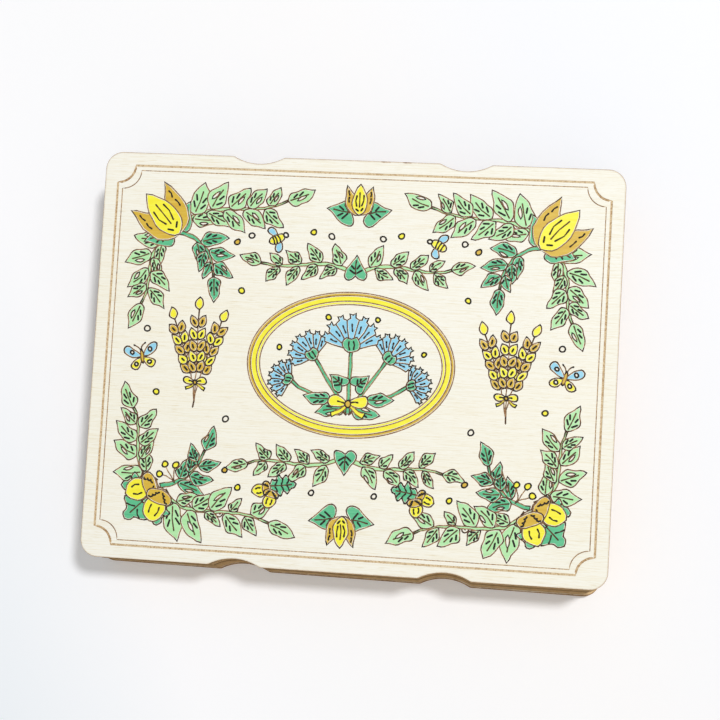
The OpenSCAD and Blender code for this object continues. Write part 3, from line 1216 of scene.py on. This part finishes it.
def card_paper(name, light, dark, flute_mark):
    """Recycled kraft paper: brown, dull and fibrous. Liners show faint lines over the glued crests."""
    made, tree, surface = new_material(name, 0.85, 1.5)
    paper = add(tree, "ShaderNodeMix", {
        "Factor": patches(tree, 1.4, 0.5, 4, 8.8),
        "A": linear(dark), "B": linear(light)}, data_type="RGBA")
    clouded = add(tree, "ShaderNodeMix", {
        "Factor": patches(tree, 16, 12, 2, 0.6, most=0.5),
        "A": paper, "B": linear(dark)}, data_type="RGBA")
    across = add(tree, "ShaderNodeSeparateXYZ", {
        "Vector": add(tree, "ShaderNodeTexCoord").outputs["Object"]}).outputs["X"]
    phase = add(tree, "ShaderNodeMath", {
        0: across, 1: math.tau / (FLUTE_PITCH * MM)}, operation="MULTIPLY")
    crest = add(tree, "ShaderNodeMath", {0: phase}, operation="COSINE")
    mark = add(tree, "ShaderNodeMapRange", {
        "Value": crest, "From Min": 0.72, "From Max": 1.0, "To Max": flute_mark})
    marked = add(tree, "ShaderNodeMix", {
        "Factor": mark, "A": clouded, "B": linear("#a27d4e")}, data_type="RGBA")
    # Singed rim by the cut edge; its strength per sheet also holds painted shade under the top board
    near_cut = add(tree, "ShaderNodeMapRange", {
        "Value": from_cut_edge(tree), "From Max": SINGE_REACH, "To Min": 1.0, "To Max": 0.0})
    heat = add(tree, "ShaderNodeAttribute", attribute_name="singe_and_shade")
    singe_and_shade = add(tree, "ShaderNodeMath", {0: near_cut, 1: heat.outputs["Fac"]}, operation="MULTIPLY")
    singed_and_shaded = add(tree, "ShaderNodeMix", {
        "Factor": singe_and_shade, "A": marked, "B": linear("#6a482c")}, data_type="RGBA")
    feed(tree, surface.inputs["Base Color"], singed_and_shaded)
    feed(tree, surface.inputs["Normal"], add(tree, "ShaderNodeBump", {
        "Height": streaks(tree, 1.2, 0.35, 4, 8.8), "Strength": 0.3, "Distance": 0.05 * MM}))
    return made


def singed_card():
    """The cut edge of the card, toasted by the laser."""
    made, tree, surface = new_material("laser_cut_card_edge", 0.9, 1.5)
    feed(tree, surface.inputs["Base Color"], add(tree, "ShaderNodeMix", {
        "Factor": patches(tree, 2.4, 2.4, 3, 1.2),
        "A": linear("#cba372"), "B": linear("#eccd9f")}, data_type="RGBA"))
    return made


kraft_liner = card_paper("kraft_liner_paper", "#ebd4ab", "#dbbd8c", 0.2)
kraft_medium = card_paper("fluted_kraft_paper", "#dcbd90", "#c8a472", 0.0)
card_edge = singed_card()
print("made", kraft_liner.name, kraft_medium.name, card_edge.name)

# %% [markdown]
# ## Corrugated card by Geometry Nodes
#
# A card sheet is two flat liners with a waved sheet of paper glued between them. All three
# layers follow rules, so Geometry Nodes make them from a single line, the sheet's far edge: the
# line is extruded to the near edge, lifted to a height or a wave, and given its thickness. The
# tree's inputs are named, so the same tree makes any sheet.

# %% The tree for a corrugated sheet
CARD_INPUTS = (("Sheet Thickness", "NodeSocketFloat"), ("Paper Thickness", "NodeSocketFloat"),
               ("Flute Pitch", "NodeSocketFloat"), ("Singe And Shade", "NodeSocketFloat"),
               ("Liner", "NodeSocketMaterial"), ("Medium", "NodeSocketMaterial"),
               ("Cut Edge", "NodeSocketMaterial"))


def card_tree():
    """Geometry Nodes that turn the far edge of a sheet into two liners and a waved medium."""
    tree = bpy.data.node_groups.new("corrugated_sheet", "GeometryNodeTree")
    tree.interface.new_socket("Far Edge", in_out="INPUT", socket_type="NodeSocketGeometry")
    for name, kind in CARD_INPUTS:
        tree.interface.new_socket(name, in_out="INPUT", socket_type=kind)
    tree.interface.new_socket("Sheet", in_out="OUTPUT", socket_type="NodeSocketGeometry")
    given = add(tree, "NodeGroupInput").outputs

    across = add(tree, "GeometryNodeExtrudeMesh", {
        "Mesh": given["Far Edge"], "Offset Scale": 0.0}, mode="EDGES")
    place = add(tree, "GeometryNodeInputPosition")
    near = add(tree, "ShaderNodeVectorMath", {0: place, 1: (1, -1, 1)}, operation="MULTIPLY")
    flat = add(tree, "GeometryNodeSetPosition", {
        "Geometry": across.outputs["Mesh"], "Selection": across.outputs["Top"], "Position": near})

    x = add(tree, "ShaderNodeSeparateXYZ", {"Vector": place}).outputs["X"]
    turns = add(tree, "ShaderNodeMath", {0: x, 1: given["Flute Pitch"]}, operation="DIVIDE")
    phase = add(tree, "ShaderNodeMath", {0: turns, 1: math.tau}, operation="MULTIPLY")
    wave = add(tree, "ShaderNodeMath", {0: phase}, operation="COSINE")
    papers = add(tree, "ShaderNodeMath", {0: given["Paper Thickness"], 1: 3.0}, operation="MULTIPLY")
    swing = add(tree, "ShaderNodeMath", {0: given["Sheet Thickness"], 1: papers}, operation="SUBTRACT")
    half_swing = add(tree, "ShaderNodeMath", {0: swing, 1: 0.5}, operation="MULTIPLY")
    trough = add(tree, "ShaderNodeMath", {0: half_swing, 1: given["Paper Thickness"]}, operation="ADD")
    waved = add(tree, "ShaderNodeMath", {0: wave, 1: half_swing, 2: trough}, operation="MULTIPLY_ADD")
    upper = add(tree, "ShaderNodeMath", {
        0: given["Sheet Thickness"], 1: given["Paper Thickness"]}, operation="SUBTRACT")

    thick = add(tree, "ShaderNodeCombineXYZ", {"Z": given["Paper Thickness"]})
    joined = add(tree, "GeometryNodeJoinGeometry")
    layers = ((0.0, "Liner", False), (waved, "Medium", True), (upper, "Liner", False))
    for height, paper, smooth in layers:
        lift = add(tree, "ShaderNodeCombineXYZ", {"Z": height})
        sheet = add(tree, "GeometryNodeSetPosition", {"Geometry": flat, "Offset": lift})
        grown = add(tree, "GeometryNodeExtrudeMesh", {
            "Mesh": sheet, "Offset": thick, "Offset Scale": 1.0, "Individual": False}, mode="FACES")
        back = add(tree, "GeometryNodeFlipFaces", {"Mesh": sheet})
        shell = add(tree, "GeometryNodeJoinGeometry")
        for part in (grown.outputs["Mesh"], back.outputs["Mesh"]):
            feed(tree, shell.inputs["Geometry"], part)
        closed = add(tree, "GeometryNodeMergeByDistance", {"Geometry": shell, "Distance": 0.01 * MM})
        papered = add(tree, "GeometryNodeSetMaterial", {"Geometry": closed, "Material": given[paper]})
        is_face = add(tree, "FunctionNodeBooleanMath", {0: grown.outputs["Side"]}, operation="NOT")
        shaded = add(tree, "GeometryNodeSetShadeSmooth", {
            "Geometry": papered, "Selection": is_face, "Shade Smooth": smooth})
        cut = add(tree, "GeometryNodeSetMaterial", {
            "Geometry": shaded, "Selection": grown.outputs["Side"], "Material": given["Cut Edge"]})
        feed(tree, joined.inputs["Geometry"], cut)
    placed = add(tree, "GeometryNodeStoreNamedAttribute", {
        "Geometry": joined, "Name": "sheet_place", "Value": place},
        data_type="FLOAT_VECTOR", domain="POINT")
    # Each sheet's rim darkness: the laser's singe, with painted shade added on the sheets under the top
    # board
    toasted = add(tree, "GeometryNodeStoreNamedAttribute", {
        "Geometry": placed, "Name": "singe_and_shade", "Value": given["Singe And Shade"]}, data_type="FLOAT", domain="POINT")
    # The sheet leaves the tree as real faces. They all have a material by now, so none is selected
    real = add(tree, "GeometryNodeRealizeInstances", {"Geometry": toasted})
    done = add(tree, "GeometryNodeSetMaterial", {
        "Geometry": real, "Selection": False, "Material": given["Liner"]})
    add(tree, "NodeGroupOutput", {"Sheet": done})
    return tree


corrugated = card_tree()
print("corrugated sheet tree:", len(corrugated.nodes), "nodes")

# %% Make the six card sheets
LINER_T = 0.25
# Rim darkness of each sheet, lowest to highest: the laser's singe, plus painted shade under the top board
SINGE_AND_SHADE = (0.2, 0.25, 0.5, 0.9, 1.0, 1.0)


def as_plain_mesh(maker, name):
    """The evaluated result of an object's modifiers as a new plain mesh."""
    seen = maker.evaluated_get(bpy.context.evaluated_depsgraph_get())
    mesh = bpy.data.meshes.new_from_object(seen)
    mesh.name = name
    return mesh


def build_card(number):
    """One corrugated sheet, in the place of its node."""
    node = f"card_sheet_{number}"
    low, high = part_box(node)
    edge = far_edge(CARD_INSET)
    line = bpy.data.meshes.new(node + "_far_edge")
    line.from_pydata([(x, y, 0) for x, y in reversed(edge)],
                     [(i, i + 1) for i in range(len(edge) - 1)], [])
    maker = bpy.data.objects.new("corrugated_" + node, line)
    bpy.context.scene.collection.objects.link(maker)
    grower = maker.modifiers.new("corrugated_sheet", "NODES")
    grower.node_group = corrugated
    values = {
        "Sheet Thickness": (high.z - low.z) / MM, "Paper Thickness": LINER_T,
        "Flute Pitch": FLUTE_PITCH, "Singe And Shade": SINGE_AND_SHADE[number - 1],
        "Liner": kraft_liner, "Medium": kraft_medium, "Cut Edge": card_edge,
    }
    for item in corrugated.interface.items_tree:
        if item.name in values:
            grower[item.identifier] = values[item.name]
    mesh = as_plain_mesh(maker, "corrugated_" + node)
    maker.modifiers.remove(grower)
    mesh.transform(lie_of(node))
    maker.data = mesh
    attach(maker, node)
    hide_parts(node)
    return maker


cards = [build_card(number) for number in range(1, 7)]
print("card sheets:", len(cards), "with", len(cards[0].data.polygons), "faces each")

# %% [markdown]
# ## Blotting paper
#
# Blotting paper is unsized cotton paper: soft, off-white and without any shine, with fibres that
# show close up. The frame's thin sheets already have its form, so only their material changes.

# %% Blotting paper
def blotting_paper():
    """Soft unsized paper, off-white, with short fibres and a felt-like surface."""
    made, tree, surface = new_material("cotton_blotting_paper", 0.95, 1.45)
    paper = add(tree, "ShaderNodeMix", {
        "Factor": patches(tree, 0.9, 0.4, 5, 7.3),
        "A": linear("#e9e4d6"), "B": linear("#f5f1e6")}, data_type="RGBA")
    toned = add(tree, "ShaderNodeMix", {
        "Factor": patches(tree, 4, 4, 3, 2.9, most=0.5),
        "A": paper, "B": linear("#ece6d8")}, data_type="RGBA")
    feed(tree, surface.inputs["Base Color"], toned)
    feed(tree, surface.inputs["Normal"], add(tree, "ShaderNodeBump", {
        "Height": streaks(tree, 0.8, 0.5, 4, 7.3), "Strength": 0.35, "Distance": 0.04 * MM}))
    return made


paper_finish = blotting_paper()
paper_names = [name for name in sorted(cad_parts) if name.startswith("blotting_paper")]
for name in paper_names:
    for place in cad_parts[name].material_slots:
        place.material = paper_finish
print("blotting papers with", paper_finish.name, ":", len(paper_names))

# %% [markdown]
# ## Floor, light and camera
#
# The press lies on white paper in daylight from a window at the far right, so its shadow falls
# to the left and towards the viewer. The paper has a painted glow, though no lamp lies under it.
# A little of it keeps the ground white up to the press and lifts the shadow, as in a catalogue
# picture. Far off, where the window's light fades, it glows more, so that the ground has no
# visible end. Its colour holds painted shade as well, darker and cooler at the near left. The sky
# is brighter overhead than at the horizon, and cool on the left. A warm wall on the near side
# throws some daylight back, so the sky is warmer and brighter there too, and both tints show in
# the shadows. Window and sky together light an upward face at a plain level, at which a colour
# renders about as it is written.

# %% Floor
FLOOR_HALF = 3.0
# Painted glow of the paper, which is no lamp, near the press and far off, and between which distances in
# metres it grows
NEAR_PAINTED_GLOW, FAR_PAINTED_GLOW, GLOW_NEAR, GLOW_FAR = 0.17, 0.62, 0.25, 2.6
# The ground's painted shade and light run from left to right, aslant, and turn plain at the last distance
PAINTED_SHADE_LEFT, PAINTED_SHADE_RIGHT, PAINTED_SHADE_SLANT, PAINTED_SHADE_FAR = -0.2, 0.12, 0.5, 0.8


def paper_with_painted_glow():
    """White paper with a painted glow. Round the press it has painted shade: cooler on the left and
    darkest near left.
    """
    made, tree, surface = new_material("white_paper_with_painted_glow_and_shade", 0.9, 1.45)
    surface.inputs["Specular IOR Level"].default_value = 0.1
    surface.inputs["Emission Color"].default_value = linear("#ffffff")
    at = add(tree, "ShaderNodeTexCoord").outputs["Object"]
    place = add(tree, "ShaderNodeSeparateXYZ", {"Vector": at})
    aside = add(tree, "ShaderNodeMath", {
        0: place.outputs["Y"], 1: PAINTED_SHADE_SLANT, 2: place.outputs["X"]}, operation="MULTIPLY_ADD")
    share = add(tree, "ShaderNodeMapRange", {
        "Value": aside, "From Min": PAINTED_SHADE_LEFT, "From Max": PAINTED_SHADE_RIGHT})
    # Painted shade and light: darker and cooler at the near left, lighter just left of the press
    tint = add(tree, "ShaderNodeValToRGB", {"Fac": share})
    set_stops(tint, (0, "#e0e7ee"), (0.28, "#f1f2f6"), (0.47, "#eff0f3"), (0.78, "#eeeef0"),
              (1, "#eaecf1"))
    away = add(tree, "ShaderNodeVectorMath", {0: at}, operation="LENGTH").outputs["Value"]
    far_off = add(tree, "ShaderNodeMapRange", {
        "Value": away, "From Min": GLOW_NEAR, "From Max": PAINTED_SHADE_FAR})
    ground = add(tree, "ShaderNodeMix", {
        "Factor": far_off, "A": tint, "B": linear("#eeeff2")}, data_type="RGBA")
    feed(tree, surface.inputs["Base Color"], ground)
    # Painted glow: it lifts the shadows near the press and stands in for the window's light far off
    painted_glow = add(tree, "ShaderNodeMapRange", {
        "Value": away, "From Min": GLOW_NEAR, "From Max": GLOW_FAR,
        "To Min": NEAR_PAINTED_GLOW, "To Max": FAR_PAINTED_GLOW})
    feed(tree, surface.inputs["Emission Strength"], painted_glow)
    return made


floor_mesh = bpy.data.meshes.new("floor")
floor_corners = [(x * FLOOR_HALF, y * FLOOR_HALF, 0) for x, y in ((-1, -1), (1, -1), (1, 1), (-1, 1))]
floor_mesh.from_pydata(floor_corners, [], [(0, 1, 2, 3)])
floor_mesh.materials.append(paper_with_painted_glow())
floor = bpy.data.objects.new("floor", floor_mesh)
bpy.context.scene.collection.objects.link(floor)
print("floor half width", FLOOR_HALF, "m")

# %% Light
# Level of the sky at the horizon and overhead, and what the near side adds
FILL_LOW, FILL_HIGH, FILL_NEAR = 0.142, 0.5, 0.28
# What an upward face gets of a level that grows towards the zenith, or towards the near side
ZENITH_SHARE, NEAR_SHARE = 2 / 3, 0.29
FILL_PLAIN, FILL_COOL, FILL_WARM = "#fbfdff", "#badcfa", "#ffe8c4"
# Where along X the left side of the sky begins and is full, and along Y the near side
LEFT_SPAN, NEAR_SPAN = (0.2, -0.6), (0.0, -0.7)
WINDOW_LEVEL, WINDOW_TINT = 0.54, "#fffefd"
WINDOW_FROM, WINDOW_AWAY, WINDOW_SIZE = Vector((0.375, 0.34, 1.0)), 2.0, 0.28

world = bpy.data.worlds.new("soft_daylight")
world.use_nodes = True
sky = world.node_tree
backdrop = sky.nodes["Background"]
seen = add(sky, "ShaderNodeLightPath")
as_backdrop = add(sky, "ShaderNodeMath", {
    0: seen.outputs["Is Camera Ray"], 1: seen.outputs["Is Glossy Ray"]}, operation="MAXIMUM")
towards = add(sky, "ShaderNodeSeparateXYZ", {
    "Vector": add(sky, "ShaderNodeTexCoord").outputs["Generated"]})
height = add(sky, "ShaderNodeMapRange", {
    "Value": towards.outputs["Z"], "To Min": FILL_LOW, "To Max": FILL_HIGH})
from_left = add(sky, "ShaderNodeMapRange", {
    "Value": towards.outputs["X"], "From Min": LEFT_SPAN[0], "From Max": LEFT_SPAN[1]})
from_near = add(sky, "ShaderNodeMapRange", {
    "Value": towards.outputs["Y"], "From Min": NEAR_SPAN[0], "From Max": NEAR_SPAN[1]})
raised = add(sky, "ShaderNodeMath", {0: from_near, 1: FILL_NEAR, 2: height}, operation="MULTIPLY_ADD")
level = add(sky, "ShaderNodeMix", {"Factor": as_backdrop, "A": raised, "B": 1.0})
cooled = add(sky, "ShaderNodeMix", {
    "Factor": from_left, "A": linear(FILL_PLAIN), "B": linear(FILL_COOL)}, data_type="RGBA")
tint = add(sky, "ShaderNodeMix", {
    "Factor": from_near, "A": cooled, "B": linear(FILL_WARM)}, data_type="RGBA")
colour = add(sky, "ShaderNodeMix", {
    "Factor": as_backdrop, "A": tint, "B": linear("#ffffff")}, data_type="RGBA")
feed(sky, backdrop.inputs["Strength"], level)
feed(sky, backdrop.inputs["Color"], colour)
bpy.context.scene.world = world

window = bpy.data.lights.new("window_light", "AREA")
window.shape, window.size = "DISK", WINDOW_SIZE
window.energy = WINDOW_LEVEL * math.pi ** 2 * WINDOW_AWAY ** 2 / WINDOW_FROM.normalized().z
window.color = linear(WINDOW_TINT)[:3]
window_object = bpy.data.objects.new("window_light", window)
window_object.location = WINDOW_FROM.normalized() * WINDOW_AWAY
window_object.rotation_euler = WINDOW_FROM.to_track_quat("Z", "Y").to_euler()
bpy.context.scene.collection.objects.link(window_object)
fill_level = FILL_LOW + (FILL_HIGH - FILL_LOW) * ZENITH_SHARE + FILL_NEAR * NEAR_SHARE
print("fill", round(fill_level, 2), "plus window", WINDOW_LEVEL,
      "with a lamp of", round(window.energy, 2), "W")

# %% Camera
# Place in millimetres and turn in degrees, worked out from the board's corners in the photograph
CAMERA_AT = Vector((34.5, -25.47, 393.22)) * MM
CAMERA_TURN = (2.954, 4.63, 3.584)
LENS, SHIFT_Y = 55, 0.05

camera = bpy.data.cameras.new("camera")
camera.lens = LENS
camera.sensor_width = 36
camera.shift_y = SHIFT_Y
camera.clip_start, camera.clip_end = 0.01, 20
camera_object = bpy.data.objects.new("camera", camera)
camera_object.location = CAMERA_AT
camera_object.rotation_euler = [math.radians(a) for a in CAMERA_TURN]
bpy.context.scene.collection.objects.link(camera_object)
bpy.context.scene.camera = camera_object
bpy.context.scene.view_settings.view_transform = "Standard"
print("camera height", round(CAMERA_AT.z, 3), "m")
